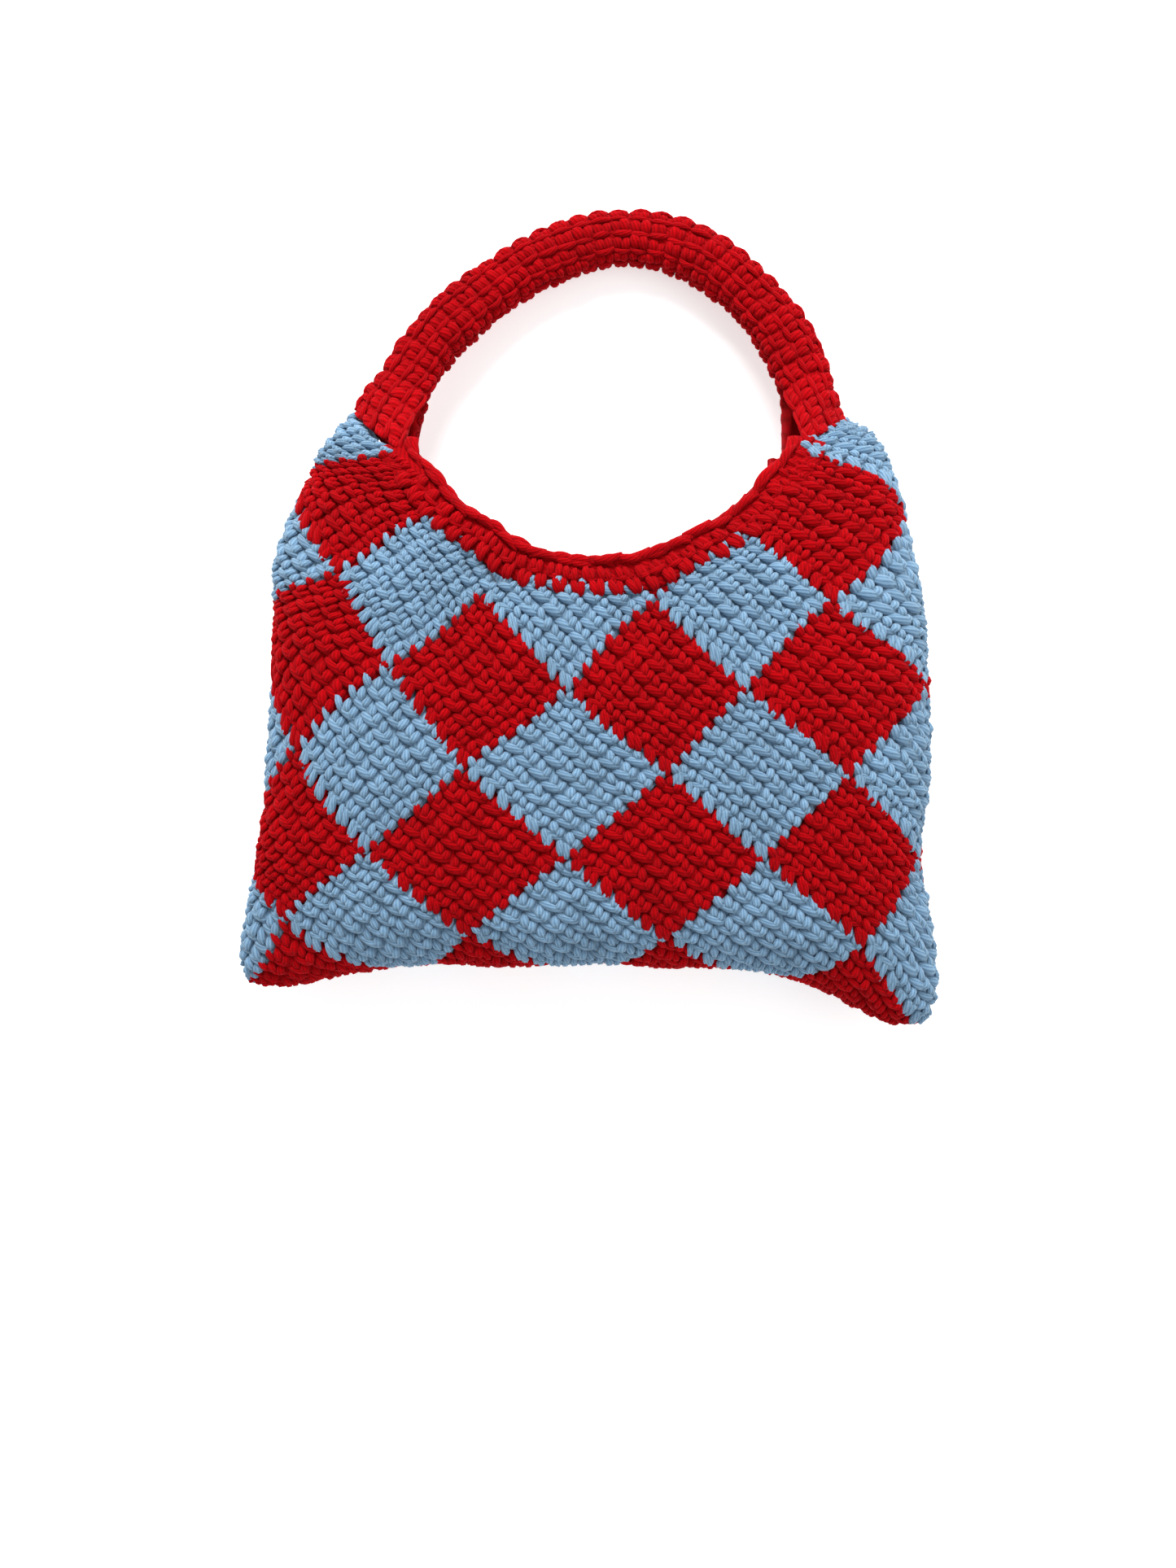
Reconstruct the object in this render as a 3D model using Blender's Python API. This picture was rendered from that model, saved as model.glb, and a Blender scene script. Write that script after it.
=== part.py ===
# Crochet hand bag, lying on its back: a tube of worked squares set on point,
# closed by a fold along the bottom, with a scooped mouth, two rim bands and
# one folded strip for a handle. Sizes in millimetres, metres in the mesh.
import math

import bpy
import numpy as np

for old in list(bpy.data.objects):
    bpy.data.objects.remove(old, do_unlink=True)

MM = 0.001
BODY_W = 250.0        # across the bottom corners
BODY_H = 204.0        # from the bottom fold to the shoulders' tops
BODY_T = 66.0         # from the floor to the top of the belly
WALL = 5.2            # thickness of the worked fabric
SEAM = 0.40           # clear gap between neighbouring pieces
ROUND = 2.7           # exponent of the section's curve, 2 is an ellipse
SPLITS = 5            # divisions along a square's side
FINE = 32             # samples of the skin for each unit of u and v
HANDLE_W = 22.0       # handle across, in the plane of the arch
HANDLE_T = 15.5       # handle from front to back
HANDLE_RISE = 79.0    # from the handle's feet to the middle of its top
HANDLE_LIFT = 1.7     # how far the handle's top stays off the floor
SLIT = 0.9            # gap between the strip's long edges
SPLAY = 30.0          # length over which the strip opens on to the shoulder
RIM_W = 14.5          # width of a rim band at mid mouth
RIM_DIP = 2.0         # how far the rim's free edge sinks
FOOT = 0.94           # height of the handle's feet, a share of BODY_H
SHOULDER = 0.38       # height of the handle's feet off the floor, a share of BODY_T
CENTRE = (0.014, 1.003)   # the point the rims lean to, shares of BODY_W and BODY_H

# One row for each line between tiers of squares, v = 0 at the bottom fold.
# Shares of BODY_W: left, right, the side outlines. Shares of BODY_H: y_left,
# y_mid, y_right, how high the line runs, and ear_l, ear_r, the droop of the
# bottom corners. Shares of BODY_T: side, the side outline's height above the
# floor, and rise, drop, front and back from there. Shares of a square's width:
# turn, how far the tube is turned, skew, how far the sides move round against
# the middle, and ripple, the same for every other junction. tight: how much
# closer the squares sit at mid width. pull: share of the wall by which the
# inner skin's line moves up.
COLUMNS = ("v left right y_left y_mid y_right ear_l ear_r "
           "side rise drop tight turn skew ripple pull").split()
TIERS = np.array([
    (0.0, -0.498, 0.498, 0.007, 0, -0.017, 0.054, 0.105, 0.379, 0, 0, 0.00, 0, 0, 0, 1.00),
    (0.5, -0.506, 0.506, 0.027, 0.006, -0.015, 0.027, 0.056, 0.402, 0.220, 0.220, 0.00, 0.030, 0, 0, 0.80),
    (1.0, -0.491, 0.498, 0.093, 0.057, 0.025, 0, 0, 0.424, 0.364, 0.394, -0.05, 0.097, 0.033, -0.009, 0.35),
    (2.0, -0.472, 0.478, 0.220, 0.195, 0.187, 0, 0, 0.455, 0.470, 0.477, -0.05, 0.094, -0.027, 0, 0.00),
    (3.0, -0.457, 0.486, 0.392, 0.336, 0.329, 0, 0, 0.455, 0.530, 0.477, 0.03, 0.141, 0.020, 0.026, 0.00),
    (4.0, -0.452, 0.489, 0.588, 0.474, 0.488, 0, 0, 0.455, 0.545, 0.477, 0.14, 0.127, -0.014, 0, 0.00),
    (5.0, -0.447, 0.480, 0.713, 0.627, 0.623, 0, 0, 0.455, 0.500, 0.477, 0.26, 0.152, 0.123, 0.067, 0.00),
    (6.0, -0.405, 0.456, 0.855, 0.738, 0.804, 0, 0, 0.439, 0.424, 0.462, 0.19, 0.097, 0.061, 0, 0.00),
    (7.0, -0.384, 0.418, 0.912, 0.868, 0.923, 0, 0, 0.409, 0.348, 0.409, 0.46, -0.061, -0.052, 0, 0.00),
    (8.0, -0.336, 0.380, 1.000, 0.949, 0.971, 0, 0, 0.348, 0.212, 0.242, 0.40, -0.061, -0.105, 0, 0.00)])
ODD = ("rise", "drop", "turn", "skew")     # columns that change sign across the fold

# The handle's middle line from the left shoulder to the right one. x: share
# of BODY_W. up: share of HANDLE_RISE above the feet. high: 1 at the shoulders'
# height off the floor, 0 where the handle lies.
ARCH = np.array([  # x, up, high
    (-0.298, 0.000, 0.99), (-0.284, 0.139, 0.90), (-0.250, 0.373, 0.64), (-0.196, 0.589, 0.39),
    (-0.126, 0.778, 0.19), (-0.050, 0.918, 0.07), (0.046, 0.997, 0.00), (0.138, 0.953, 0.07),
    (0.216, 0.791, 0.19), (0.276, 0.576, 0.39), (0.310, 0.367, 0.61), (0.328, 0.177, 0.83),
    (0.344, 0.006, 0.96)])

# How far each rim reaches towards the mouth, a row for each corner it passes.
REACH = np.array([  # place along the rim, share of RIM_W
    (-1.0, 0.10), (0.0, 0.31), (1.0, 0.66), (2.0, 1.38), (2.5, 1.00), (3.0, 1.07),
    (4.0, 0.62), (5.0, 0.34), (6.0, 0.10)])


# A smooth curve through a table's rows, with slopes from the rows either side.
def smooth(xs, ys, at):
    xs, ys, at = np.asarray(xs, float), np.asarray(ys, float), np.asarray(at, float)
    slope = np.gradient(ys, xs, axis=0)
    i = np.clip(np.searchsorted(xs, at, side="right") - 1, 0, len(xs) - 2)
    h = xs[i + 1] - xs[i]
    t = (at - xs[i]) / h
    if ys.ndim > 1:
        t, h = t[..., None], h[..., None]
    return ((2*t**3 - 3*t**2 + 1) * ys[i] + (t**3 - 2*t**2 + t) * h * slope[i]
            + (3*t**2 - 2*t**3) * ys[i + 1] + (t**3 - t**2) * h * slope[i + 1])


# The bag's skin as a grid over u (round the tube) and v (up), moved in by inset.
def skin(inset):
    rows = TIERS.copy()
    col = {name: i for i, name in enumerate(COLUMNS)}
    v = rows[:, 0]
    for name in ("left", "right"):
        rows[:, col[name]] *= BODY_W
    for name in ("y_left", "y_mid", "y_right", "ear_l", "ear_r"):
        rows[:, col[name]] *= BODY_H
    for name in ("side", "rise", "drop"):
        rows[:, col[name]] *= BODY_T
    rows[:, col["left"]] += inset
    rows[:, col["right"]] -= inset
    for name in ("rise", "drop"):
        rows[:, col[name]] -= inset * np.minimum(1.0, v / 0.5)
    for name in ("y_left", "y_mid", "y_right"):
        rows[:, col[name]] += inset * rows[:, col["pull"]]
    mirror = rows[1:3][::-1].copy()
    mirror[:, 0] *= -1
    for name in ODD:
        mirror[:, col[name]] *= -1
    rows = np.vstack([mirror, rows])
    heights = np.linspace(0, 8, 8 * FINE + 1)
    around = np.linspace(0, 8, 8 * FINE + 1)
    phi = np.linspace(0, 2 * math.pi, 721)
    out = np.zeros((len(heights), len(around), 3))
    for k, h in enumerate(heights):
        g = {n: float(smooth(rows[:, 0], rows[:, i], h)) for n, i in col.items() if i}
        t = -np.sign(np.cos(phi)) * np.abs(np.cos(phi)) ** (2 / ROUND)
        lift = np.sign(np.sin(phi)) * np.abs(np.sin(phi)) ** (2 / ROUND)
        half, mid = (g["right"] - g["left"]) / 2, (g["right"] + g["left"]) / 2
        bow = np.where(t < 0, g["y_left"] - g["y_mid"], g["y_right"] - g["y_mid"]) * t ** 2
        ear = np.where(t < 0, g["ear_l"], g["ear_r"]) * (1.9 * t ** 4 - 1.1 * t ** 12)
        x, y = mid + half * t, g["y_mid"] + bow - ear
        z = g["side"] + np.where(lift > 0, g["rise"], g["drop"]) * lift
        loop = np.stack([x, y, np.maximum(z, inset)], 1)
        arc = np.concatenate([[0], np.cumsum(np.linalg.norm(np.diff(loop, axis=0), axis=1))])
        whole = arc[-1]
        place = (arc[360] / 2 + whole / 8 * (around - 2 - g["turn"]
                 + 2 / math.pi * g["tight"] * np.sin(math.pi * around / 2)
                 + g["skew"] / 2 * (1 + np.cos(math.pi * around / 2))
                 + g["ripple"] * np.sin(math.pi * around))) % whole
        for axis in range(3):
            out[k, :, axis] = np.interp(place, arc, loop[:, axis])
    return out


OUTER, INNER = skin(0.0), skin(WALL)


# A point of a skin at u, v. Below the fold it carries on up the other side.
def at(grid, u, v):
    if v < 0:
        u, v = 8 - u, -v
    a, b = (u % 8) * FINE, min(v, 8.0) * FINE
    i, j = min(int(a), 8 * FINE - 1), min(int(b), 8 * FINE - 1)
    s, t = a - i, b - j
    return ((grid[j, i] * (1 - s) + grid[j, i + 1] * s) * (1 - t)
            + (grid[j + 1, i] * (1 - s) + grid[j + 1, i + 1] * s) * t)


shelf = bpy.data.collections.new("crochet_bag")
bpy.context.scene.collection.children.link(shelf)


# One closed solid from its points and faces, with its own material.
def solid(name, points, faces, colour, rough):
    mesh = bpy.data.meshes.new(name)
    mesh.from_pydata([tuple(float(c) * MM for c in p) for p in points], [], faces)
    mesh.validate()
    mesh.update()
    mat = bpy.data.materials.new(name)
    mat.use_nodes = True
    base = mat.node_tree.nodes["Principled BSDF"]
    base.inputs["Base Color"].default_value = (*colour, 1.0)
    base.inputs["Roughness"].default_value = rough
    mesh.materials.append(mat)
    body = bpy.data.objects.new(name, mesh)
    shelf.objects.link(body)
    return body


RED, BLUE = (0.52, 0.0, 0.006), (0.27, 0.49, 0.72)


# A shell between two matching sheets of points, with a wall round the rim.
# cells lists each sheet face, edge lists the sheet's outline in order. rank
# picks each wall's diagonal, so that two neighbours' walls split alike.
def shell(name, top, under, cells, edge, colour, rank=None):
    n = len(top)
    faces = [tuple(c) for c in cells] + [tuple(n + i for i in reversed(c)) for c in cells]
    for a, b in zip(edge, edge[1:] + edge[:1]):
        if rank is not None and rank[a] < rank[b]:
            faces += [(b, a, n + b), (a, n + a, n + b)]
        else:
            faces += [(b, a, n + a), (b, n + a, n + b)]
    return solid(name, list(top) + list(under), faces, colour, 0.9)


# One square of the fabric: its corners lie left, right, above and below uc, vc.
def square(name, uc, vc, colour, half=False):
    n, inset = SPLITS, SEAM / 2 / (BODY_W * 0.184)
    index, top, under, rank = {}, [], [], []
    for i in range(n + 1):
        for j in range(n + 1):
            if half and j > i:
                continue
            p = inset + (1 - 2 * inset) * i / n
            q = inset + (1 - 2 * inset) * j / n
            u, v = uc - 0.5 + (p + q) / 2, vc + q - p
            if half:
                v = min(v - 2 * inset * j / n, vc - 1.5 * inset)
            index[i, j] = len(top)
            top.append(at(OUTER, u, v))
            under.append(at(INNER, u, v))
            rank.append(abs(v))
    cells, edge = [], []
    for i in range(n):
        for j in range(n):
            corners = [(i, j), (i + 1, j), (i + 1, j + 1), (i, j + 1)]
            kept = [index[c] for c in corners if c in index]
            if len(kept) >= 3:
                cells.append(kept)
    edge += [index[i, 0] for i in range(n)]
    edge += [index[n, j] for j in range(n)]
    if half:
        edge += [index[i, i] for i in range(n, 0, -1)]
    else:
        edge += [index[i, n] for i in range(n, 0, -1)]
        edge += [index[0, j] for j in range(n, 0, -1)]
    return shell(name, top, under, cells, edge, colour, rank)


for tier in range(8):
    colour = BLUE if tier % 2 else RED
    shade = "blue" if tier % 2 else "red"
    for k in range(8):
        uc = k + (0.0 if tier % 2 else 0.5)
        if tier == 0 and uc > 4:
            continue
        if tier == 6 and uc not in (0.5, 3.5, 4.5, 7.5):
            continue
        if tier == 7 and uc not in (0.0, 4.0):
            continue
        square(f"{shade}_square_{tier}_{k}", uc, tier, colour,
               half=(tier == 5 and k in (2, 6)))


# The handle: a strip whose ends fit the shoulders' upper edges and which folds
# lengthwise, long edges meeting on the arch's inner side.
STEPS, ACROSS = 36, 10
low = HANDLE_T / 2 + HANDLE_LIFT
arch = np.stack([ARCH[:, 0] * BODY_W, FOOT * BODY_H + ARCH[:, 1] * HANDLE_RISE,
                 low + ARCH[:, 2] * (SHOULDER * BODY_T - low)], 1)
arch_s = np.concatenate([[0], np.cumsum(np.linalg.norm(np.diff(arch, axis=0), axis=1))])
LENGTH = arch_s[-1]


def strip(s, w, inset):
    here = smooth(arch_s, arch, np.array(s))
    ahead = smooth(arch_s, arch, np.array(min(s + 0.5, LENGTH)))
    behind = smooth(arch_s, arch, np.array(max(s - 0.5, 0.0)))
    along = (ahead - behind) / np.linalg.norm(ahead - behind)
    outward = np.cross(np.array([0, 0, 1.0]), along)
    outward /= np.linalg.norm(outward)
    up = np.cross(along, outward)
    wide, thick = HANDLE_W / 2 - inset, HANDLE_T / 2 - inset
    first = math.asin(min(0.9, SLIT / 2 / thick))
    turn = first + (math.pi - first) * (w + 1)
    fold = (here - outward * wide * np.sign(math.cos(turn)) * abs(math.cos(turn)) ** 0.8
            + up * thick * np.sign(math.sin(turn)) * abs(math.sin(turn)) ** 0.8)
    left = s < LENGTH / 2
    from_end = s if left else LENGTH - s
    share = min(1.0, from_end / SPLAY)
    share = share * share * (3 - 2 * share)
    if share >= 1:
        return fold
    grid = INNER if inset else OUTER
    root = -0.5 * w if left else 4 + 0.5 * w
    start = at(grid, root, 8 - abs(w))
    lead = along if left else -along
    spot = (1 - share) * (start + lead * from_end) + share * fold
    return np.array([spot[0], spot[1], max(spot[2], inset)])


top, under, edge, cells = [], [], [], []
for i in range(STEPS + 1):
    s = 2 * SEAM + (LENGTH - 4 * SEAM) * i / STEPS
    for j in range(ACROSS + 1):
        w = -1 + 2 * j / ACROSS
        top.append(strip(s, w, 0.0))
        under.append(strip(s, w, WALL))
row = ACROSS + 1
for i in range(STEPS):
    for j in range(ACROSS):
        a = i * row + j
        cells.append([a, a + row, a + row + 1, a + 1])
edge = ([i * row for i in range(STEPS)] + [STEPS * row + j for j in range(ACROSS)]
        + [i * row + ACROSS for i in range(STEPS, 0, -1)] + list(range(ACROSS, 0, -1)))
shell("handle", top, under, cells, edge, RED)


# The rims: a band along the top edge of the front and of the back, its free
# edge leaning towards the mouth and its ends running up beside the handle.
def rim(name, back):
    corners = [(0.5, 7.0), (1.0, 6.0), (1.5, 5.0), (2.5, 5.0), (3.0, 6.0), (3.5, 7.0)]
    steps, across = 31, 2
    top, under = [], []
    for i in range(steps + 1):
        k = -0.6 + 0.2 * i
        if k < -0.01 or k > 5.01:
            s = SEAM + RIM_W * 0.8 * (-k if k < 0 else k - 5)
            s = s if k < 0 else LENGTH - s
            w = 1.0 if back else -1.0
            a_out, a_in = strip(s, w, 0.0), strip(s, w, WALL)
        else:
            c = min(int(k + 0.01), 4)
            u = corners[c][0] + (corners[c + 1][0] - corners[c][0]) * (k - c)
            v = corners[c][1] + (corners[c + 1][1] - corners[c][1]) * (k - c)
            u = 8 - u if back else u
            a_out, a_in = at(OUTER, u, v), at(INNER, u, v)
        face = (a_out - a_in) / np.linalg.norm(a_out - a_in)
        lean = np.array([CENTRE[0] * BODY_W, CENTRE[1] * BODY_H, 0.0]) - a_out
        lean[2] = 0.0
        lean -= face * np.dot(lean, face) * 0.5
        lean /= np.linalg.norm(lean)
        reach = RIM_W * float(smooth(REACH[:, 0], REACH[:, 1], np.array(k)))
        for j in range(across + 1):
            step = SEAM + (reach - SEAM) * j / across
            drop = face * RIM_DIP * (j / across) ** 2
            for sheet, root, floor in ((top, a_out, 0.0), (under, a_in, WALL)):
                x, y, z = root + lean * step - drop
                sheet.append(np.array([x, y, max(z, floor)]))
    row, cells = across + 1, []
    for i in range(steps):
        for j in range(across):
            a = i * row + j
            cells.append([a, a + 1, a + row + 1, a + row] if back
                         else [a, a + row, a + row + 1, a + 1])
    edge = ([i * row for i in range(steps)] + [steps * row + j for j in range(across)]
            + [i * row + across for i in range(steps, 0, -1)] + list(range(across, 0, -1)))
    if back:
        edge.reverse()
    shell(name, top, under, cells, edge, RED)


rim("rim_front", False)
rim("rim_back", True)

# The whole bag is moved so that its box stands centred on the origin.
points = np.array([v.co for ob in shelf.objects for v in ob.data.vertices])
least, most = points.min(axis=0), points.max(axis=0)
shift = np.array([(least[0] + most[0]) / 2, (least[1] + most[1]) / 2, least[2]])
for ob in shelf.objects:
    for v in ob.data.vertices:
        v.co = [v.co[i] - shift[i] for i in range(3)]
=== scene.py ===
# Small crochet hand bag in red and light-blue wool, lying on its back. The
# table, lights and camera are in metres, and the bag's sizes in millimetres.
import math

import bpy
import numpy as np
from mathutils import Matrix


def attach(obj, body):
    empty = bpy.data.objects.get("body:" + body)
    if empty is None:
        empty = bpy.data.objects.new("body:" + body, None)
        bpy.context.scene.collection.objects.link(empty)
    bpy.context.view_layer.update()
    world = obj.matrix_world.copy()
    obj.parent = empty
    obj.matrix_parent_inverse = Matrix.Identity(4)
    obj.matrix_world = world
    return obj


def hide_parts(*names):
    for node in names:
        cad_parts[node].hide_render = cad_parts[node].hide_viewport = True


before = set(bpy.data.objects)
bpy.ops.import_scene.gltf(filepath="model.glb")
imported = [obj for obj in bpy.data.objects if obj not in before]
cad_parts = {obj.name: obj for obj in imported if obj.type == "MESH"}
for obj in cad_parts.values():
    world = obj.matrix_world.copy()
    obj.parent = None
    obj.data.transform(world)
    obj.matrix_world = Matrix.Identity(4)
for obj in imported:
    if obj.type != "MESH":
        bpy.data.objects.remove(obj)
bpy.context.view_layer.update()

# The table: a plain white sweep, lit softly from beyond the handle, with the
# camera straight above the bag as it lies.
TABLE = 3             # half the table's side
PAPER = 0.70, 0.72    # the paper's darkest and lightest grey
GLOW = 0.55           # lifts the paper to the photograph's plain white
ROOM = 0.62           # strength of the light from all round
EYE = (0.00006, -0.0648, 0.510)
floor_mesh = bpy.data.meshes.new("table_top")
floor_mesh.from_pydata([(-TABLE, -TABLE, 0), (TABLE, -TABLE, 0), (TABLE, TABLE, 0),
                        (-TABLE, TABLE, 0)], [], [(0, 1, 2, 3)])
floor = bpy.data.objects.new("table_top", floor_mesh)
bpy.context.scene.collection.objects.link(floor)
paper = bpy.data.materials.new("white_paper")
paper.use_nodes = True
sheet = paper.node_tree
shine = sheet.nodes["Principled BSDF"]
grain = sheet.nodes.new("ShaderNodeTexNoise")
grain.inputs["Scale"].default_value = 40.0
tint = sheet.nodes.new("ShaderNodeMapRange")
tint.inputs["To Min"].default_value, tint.inputs["To Max"].default_value = PAPER
sheet.links.new(grain.outputs["Fac"], tint.inputs["Value"])
sheet.links.new(tint.outputs["Result"], shine.inputs["Base Color"])
shine.inputs["Roughness"].default_value = 0.9
shine.inputs["Emission Color"].default_value = (1.0, 1.0, 1.0, 1.0)
shine.inputs["Emission Strength"].default_value = GLOW
floor_mesh.materials.append(paper)

for name, place, turn, size, watts in (
        ("key_light", (-0.15, 1.15, 1.05), (-0.83, -0.10, 0.0), 0.9, 30.0),
        ("side_light", (1.0, -0.2, 1.3), (0.12, 0.65, 0.0), 1.2, 6.0)):
    lamp = bpy.data.lights.new(name, "AREA")
    lamp.shape = "DISK"
    lamp.size = size
    lamp.energy = watts
    light = bpy.data.objects.new(name, lamp)
    light.location = place
    light.rotation_euler = turn
    bpy.context.scene.collection.objects.link(light)
world = bpy.data.worlds.new("soft_room")
world.use_nodes = True
sky = world.node_tree.nodes["Background"]
sky.inputs["Color"].default_value = (1.0, 1.0, 1.0, 1.0)
sky.inputs["Strength"].default_value = ROOM
bpy.context.scene.world = world
bpy.context.scene.view_settings.view_transform = "Standard"

lens = bpy.data.cameras.new("overhead")
lens.lens = 30.4
lens.sensor_width = 36.0
lens.clip_start = 0.01
camera = bpy.data.objects.new("overhead", lens)
camera.location = EYE
bpy.context.scene.collection.objects.link(camera)
bpy.context.scene.camera = camera

# The wool: soft plied yarn, a little hairy. Each strand carries its own place
# round and along itself, which draws the plies, and a tone for each stitch. Its
# colour runs from painted shade in the plies' grooves to a lit colour on their
# tops, and hairs and fluff add random fibre tone.
PLIES = 7             # ply lines round the yarn
TWIST = 24.0          # millimetres for one turn of the plies
RIDGE, HAIRS, FLUFF = 0.50, 0.75, 0.30    # how strongly plies, hairs and fluff draw
PLY_SHADE_END = 0.38        # where on that scale the painted shade of the ply grooves ends
STREAK = 0.10         # below 1 the hairs are drawn out along the strand
STITCH_APART = 40.0   # each stitch takes its hairs from another part of the noise


# Gives a tree a function that adds a node, with its values or links by order or
# by name. A node given as a value is linked from its first output.
def adding(tree):
    def add(kind, values=(), **set_to):
        node = tree.nodes.new(kind)
        for key, value in set_to.items():
            setattr(node, key, value)
        sockets = [s for s in node.inputs if s.enabled]
        for key, value in (values.items() if isinstance(values, dict) else enumerate(values)):
            target = (sockets[key] if isinstance(key, int)
                      else next(s for s in sockets if s.name == key))
            if isinstance(value, bpy.types.Node):
                value = next(s for s in value.outputs if s.enabled)
            if isinstance(value, bpy.types.NodeSocket):
                tree.links.new(value, target)
            else:
                target.default_value = value
        return node
    return add


def wool(name, light, groove_shade, hair):
    made = bpy.data.materials.new(name)
    made.use_nodes = True
    tree = made.node_tree
    add = adding(tree)
    around = add("ShaderNodeAttribute", attribute_name="around")
    split = add("ShaderNodeSeparateXYZ", [around.outputs["Vector"]])
    angle = add("ShaderNodeMath", [split.outputs["Y"], split.outputs["X"]], operation="ARCTAN2")
    run = add("ShaderNodeAttribute", attribute_name="run")
    tone = add("ShaderNodeAttribute", attribute_name="tone")
    turned = add("ShaderNodeMath", [run.outputs["Fac"], 2 * math.pi / TWIST, angle],
                 operation="MULTIPLY_ADD")
    plies = add("ShaderNodeMath", [turned, PLIES], operation="MULTIPLY")
    wave = add("ShaderNodeMath", [plies], operation="SINE")
    ridge = add("ShaderNodeMapRange", {"Value": wave, "From Min": -1.0, "From Max": 0.7,
                                       "To Min": 0.0, "To Max": RIDGE})
    spot = add("ShaderNodeTexCoord")
    east = add("ShaderNodeMath", [turned], operation="COSINE")
    north = add("ShaderNodeMath", [turned], operation="SINE")
    drawn = add("ShaderNodeMath", [run.outputs["Fac"], STREAK], operation="MULTIPLY")
    unlike = add("ShaderNodeMath", [tone.outputs["Fac"], STITCH_APART, drawn],
                 operation="MULTIPLY_ADD")
    helix = add("ShaderNodeCombineXYZ", [east, north, unlike])
    hairs = add("ShaderNodeTexNoise", {"Vector": helix, "Scale": 7.0, "Detail": 3.0,
                                       "Roughness": 0.65})
    cloud = add("ShaderNodeTexNoise", {"Vector": spot.outputs["Object"], "Scale": 55.0,
                                       "Detail": 2.0})
    fluff = add("ShaderNodeTexNoise", {"Vector": spot.outputs["Object"], "Scale": 1400.0,
                                       "Detail": 2.0, "Roughness": 0.6})
    fibres = add("ShaderNodeMath", [fluff, FLUFF, ridge], operation="MULTIPLY_ADD")
    mixed = add("ShaderNodeMath", [hairs, HAIRS, fibres], operation="MULTIPLY_ADD")
    # painted shade: where the plies dip, the ramp turns to the yarn's darker groove copy, and where
    # they rise, to its lit colour
    paint = add("ShaderNodeValToRGB", [mixed])
    paint.color_ramp.elements[0].position = PLY_SHADE_END
    paint.color_ramp.elements[0].color = (*groove_shade, 1.0)
    paint.color_ramp.elements[1].position = 1.0
    paint.color_ramp.elements[1].color = (*light, 1.0)
    shade = add("ShaderNodeMath", [cloud, 0.35, 0.66], operation="MULTIPLY_ADD")
    worn = add("ShaderNodeMath", [tone.outputs["Fac"], 0.16, shade], operation="MULTIPLY_ADD")
    final = add("ShaderNodeVectorMath", [paint.outputs["Color"]], operation="SCALE")
    tree.links.new(worn.outputs[0], final.inputs["Scale"])
    bump = add("ShaderNodeBump", {"Strength": 0.9, "Distance": 0.0004, "Height": mixed})
    body = tree.nodes["Principled BSDF"]
    tree.links.new(final.outputs[0], body.inputs["Base Color"])
    tree.links.new(bump.outputs[0], body.inputs["Normal"])
    body.inputs["Subsurface Weight"].default_value = 0.45
    body.inputs["Subsurface Radius"].default_value = (1.0, 1.0, 1.0)
    body.inputs["Subsurface Scale"].default_value = 0.0012
    body.inputs["Roughness"].default_value = 0.85
    body.inputs["Specular IOR Level"].default_value = 0.06
    body.inputs["Sheen Weight"].default_value = 0.22
    body.inputs["Sheen Roughness"].default_value = 0.5
    body.inputs["Sheen Tint"].default_value = (*hair, 1.0)
    return made


# Each yarn: its lit colour, the darker copy painted as shade in its ply grooves, and its sheen
# tint.
RED = wool("red_wool", (0.46, 0.0, 0.003), (0.25, 0.0, 0.001), (1.0, 0.06, 0.08))
BLUE = wool("blue_wool", (0.24, 0.40, 0.56), (0.11, 0.215, 0.355), (0.85, 0.93, 1.0))

# The stitch maker: one strand of yarn, bent over a curve and repeated in rows.
# Every stitch of the bag, the rims and the handle is laid with this tree.
laid = bpy.data.node_groups.new("strand_rows", "GeometryNodeTree")
laid.interface.new_socket("Geometry", in_out="INPUT", socket_type="NodeSocketGeometry")
for name, kind in (("Start", "Vector"), ("Start Lean", "Vector"), ("End Lean", "Vector"),
                   ("End", "Vector"), ("Thickness", "Float"), ("Start Share", "Float"),
                   ("End Share", "Float"), ("Flat", "Float"), ("Sides", "Int"), ("Steps", "Int"),
                   ("Columns", "Int"), ("Rows", "Int"), ("Step", "Vector"), ("Origin", "Vector"),
                   ("Loose", "Float"), ("Seed", "Int"), ("Half", "Bool"), ("Yarn", "Material")):
    laid.interface.new_socket(name, in_out="INPUT", socket_type="NodeSocket" + kind)
laid.interface.new_socket("Geometry", in_out="OUTPUT", socket_type="NodeSocketGeometry")


add = adding(laid)
given = add("NodeGroupInput").outputs
bent = add("GeometryNodeCurvePrimitiveBezierSegment", {
    "Start": given["Start"], "Start Handle": given["Start Lean"],
    "End Handle": given["End Lean"], "End": given["End"], "Resolution": 16}, mode="POSITION")
count = add("ShaderNodeMath", [given["Steps"], 1.0], operation="ADD")
evened = add("GeometryNodeResampleCurve", {"Curve": bent, "Count": count})
place = add("GeometryNodeSplineParameter")
TAPER = 0.42          # share of a strand over which each end thins
BLUNT = 0.55          # below 1 the ends are rounder


def thinning(tip, full, share):
    ramp = add("ShaderNodeMapRange", {"Value": place.outputs["Factor"], "From Min": tip,
                                      "From Max": full})
    rounded = add("ShaderNodeMath", [ramp, BLUNT], operation="POWER")
    return add("ShaderNodeMapRange", {"Value": rounded, "To Min": given[share]})


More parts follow.
